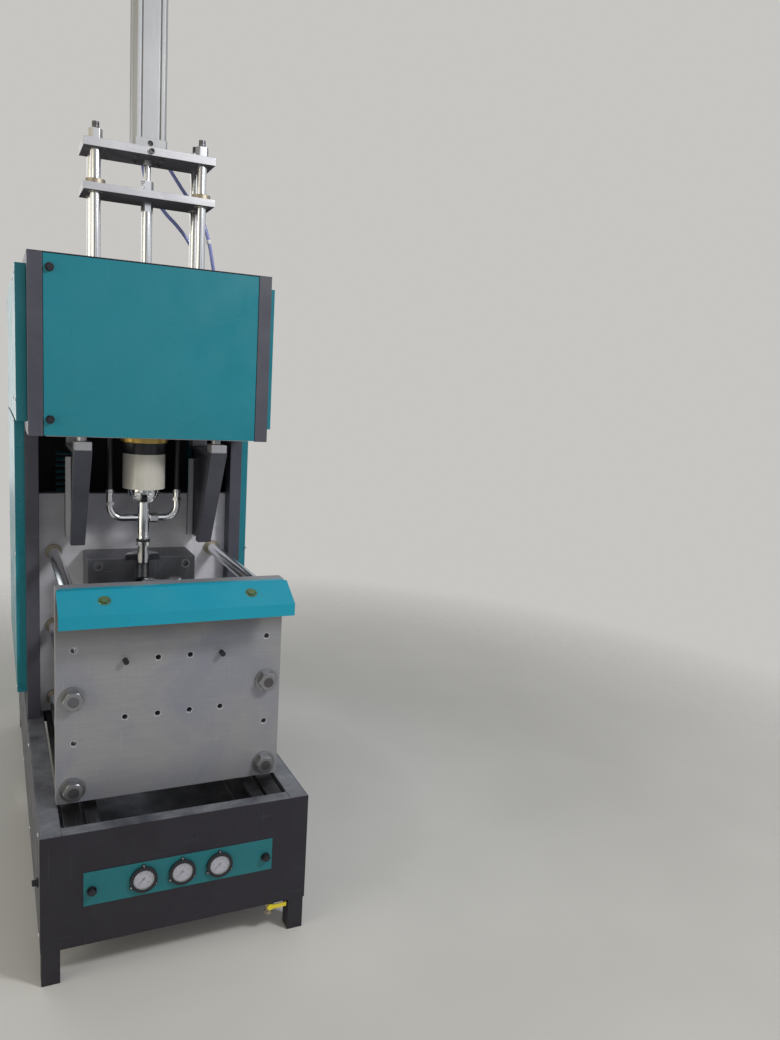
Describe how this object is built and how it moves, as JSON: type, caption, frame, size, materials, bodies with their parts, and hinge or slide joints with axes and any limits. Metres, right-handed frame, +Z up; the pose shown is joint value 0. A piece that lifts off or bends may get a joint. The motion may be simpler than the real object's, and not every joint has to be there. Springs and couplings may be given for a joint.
{
  "type": "blow moulding machine",
  "caption": "Floor-standing stretch blow moulding machine for large jars, with a sliding mould platen on guide rods, a seal nozzle, a stretch cylinder on columns and painted sheet covers.",
  "frame": {"origin": "on the floor under the middle of the machine's box", "axes": "+X to the machine's right as the operator sees it, +Y from the operator to the back, +Z up"},
  "size_m": [0.754, 1.7693, 2.805],
  "materials": {
    "frame_paint": "satin purple-grey paint",
    "teal_paint": "satin teal paint",
    "ground_steel": "ground steel",
    "mould_steel": "dark machined steel",
    "chrome": "hard chrome",
    "bronze": "turned bronze",
    "alloy": "drawn aluminium",
    "black_plastic": "moulded black plastic",
    "white_dial": "printed white dial",
    "lens": "clear lens",
    "yellow_grip": "yellow vinyl sleeve",
    "seal_ring": "black rubber",
    "gasket": "golden passivated steel",
    "zinc": "zinc plated",
    "blue_tube": "translucent blue polyurethane",
    "black_hose": "black rubber hose"
  },
  "bodies": {
    "machine_frame": {"uprights": "frame_paint", "side_rails": "frame_paint", "cross_rails": "frame_paint", "base_fascia": "frame_paint", "base_side_panels": "frame_paint", "gauge_panel": "teal_paint", "gauge_cases": "black_plastic", "gauge_dials": "white_dial", "gauge_glasses": "lens", "drain_valve": "bronze", "hood_front_panel": "teal_paint", "side_covers": "teal_paint", "back_panels": "teal_paint", "hood_roof": "frame_paint", "fixed_platen": "ground_steel", "guide_bushes": "bronze", "gussets": "frame_paint", "gusset_blocks": "ground_steel", "head_plate": "ground_steel", "seal_barrel": "alloy", "seal_cap": "seal_ring", "seal_flange": "gasket", "seal_gland": "chrome", "mould_fixed_half": "mould_steel", "neck_ring_fixed": "chrome", "clamp_barrel": "frame_paint", "guide_columns": "chrome", "column_nuts": "chrome", "top_plate": "ground_steel", "stretch_barrel": "alloy", "stretch_caps": "alloy", "air_hoses": "blue_tube"},
    "clamp_carriage": {"moving_platen": "ground_steel", "canopy": "teal_paint", "platen_screws": "zinc", "guide_rods": "chrome", "rod_nuts": "chrome", "rod_washers": "zinc", "mould_moving_half": "mould_steel", "mould_pins": "chrome", "neck_ring_moving": "chrome", "crosshead": "ground_steel", "clamp_piston_rod": "chrome"},
    "nozzle_unit": {"nozzle_tube": "chrome", "nozzle_tip": "chrome", "air_pipes": "chrome", "nozzle_hoses": "black_hose"},
    "stretch_carriage": {"stretch_plate": "ground_steel", "stretch_bushes": "bronze", "stretch_rod": "chrome", "stretch_piston_rod": "chrome"},
    "left_needle": {"needle_left": "black_plastic"},
    "middle_needle": {"needle_middle": "black_plastic"},
    "right_needle": {"needle_right": "black_plastic"},
    "left_gauge_lock": {"lock_gauge_left": "black_plastic"},
    "right_gauge_lock": {"lock_gauge_right": "black_plastic"},
    "upper_hood_lock": {"lock_hood_top": "black_plastic"},
    "lower_hood_lock": {"lock_hood_bottom": "black_plastic"},
    "base_side_lock": {"lock_base_side": "black_plastic"},
    "valve_lever": {"drain_lever": "yellow_grip"}
  },
  "joints": [
    {"name": "clamp_slide", "type": "slide", "parent": "machine_frame", "child": "clamp_carriage", "axis": [0, 1, 0], "range_m": [0, 0.3414]},
    {"name": "nozzle_slide", "type": "slide", "parent": "machine_frame", "child": "nozzle_unit", "axis": [0, 0, -1], "range_m": [0, 0.03]},
    {"name": "stretch_slide", "type": "slide", "parent": "machine_frame", "child": "stretch_carriage", "axis": [0, 0, -1], "range_m": [0, 0.45]},
    {"name": "left_needle_turn", "type": "hinge", "parent": "machine_frame", "child": "left_needle", "pos_m": [-0.1, -0.877, 0.25], "axis": [0, 1, 0], "range_deg": [0, 270]},
    {"name": "middle_needle_turn", "type": "hinge", "parent": "machine_frame", "child": "middle_needle", "pos_m": [0, -0.877, 0.25], "axis": [0, 1, 0], "range_deg": [0, 270]},
    {"name": "right_needle_turn", "type": "hinge", "parent": "machine_frame", "child": "right_needle", "pos_m": [0.1, -0.877, 0.25], "axis": [0, 1, 0], "range_deg": [0, 270]},
    {"name": "left_gauge_lock_turn", "type": "hinge", "parent": "machine_frame", "child": "left_gauge_lock", "pos_m": [-0.228, -0.877, 0.245], "axis": [0, 1, 0], "range_deg": [0, 90]},
    {"name": "right_gauge_lock_turn", "type": "hinge", "parent": "machine_frame", "child": "right_gauge_lock", "pos_m": [0.228, -0.877, 0.245], "axis": [0, 1, 0], "range_deg": [0, 90]},
    {"name": "upper_hood_lock_turn", "type": "hinge", "parent": "machine_frame", "child": "upper_hood_lock", "pos_m": [-0.29, -0.369, 1.827], "axis": [0, 1, 0], "range_deg": [0, 90]},
    {"name": "lower_hood_lock_turn", "type": "hinge", "parent": "machine_frame", "child": "lower_hood_lock", "pos_m": [-0.29, -0.369, 1.407], "axis": [0, -1, 0], "range_deg": [0, 90]},
    {"name": "base_side_lock_turn", "type": "hinge", "parent": "machine_frame", "child": "base_side_lock", "pos_m": [-0.35, -0.8, 0.248], "axis": [1, 0, 0], "range_deg": [0, 90]},
    {"name": "drain_lever_turn", "type": "hinge", "parent": "machine_frame", "child": "valve_lever", "pos_m": [0.252, -0.867, 0.081], "axis": [0, 1, 0], "range_deg": [0, 90]}
  ]
}
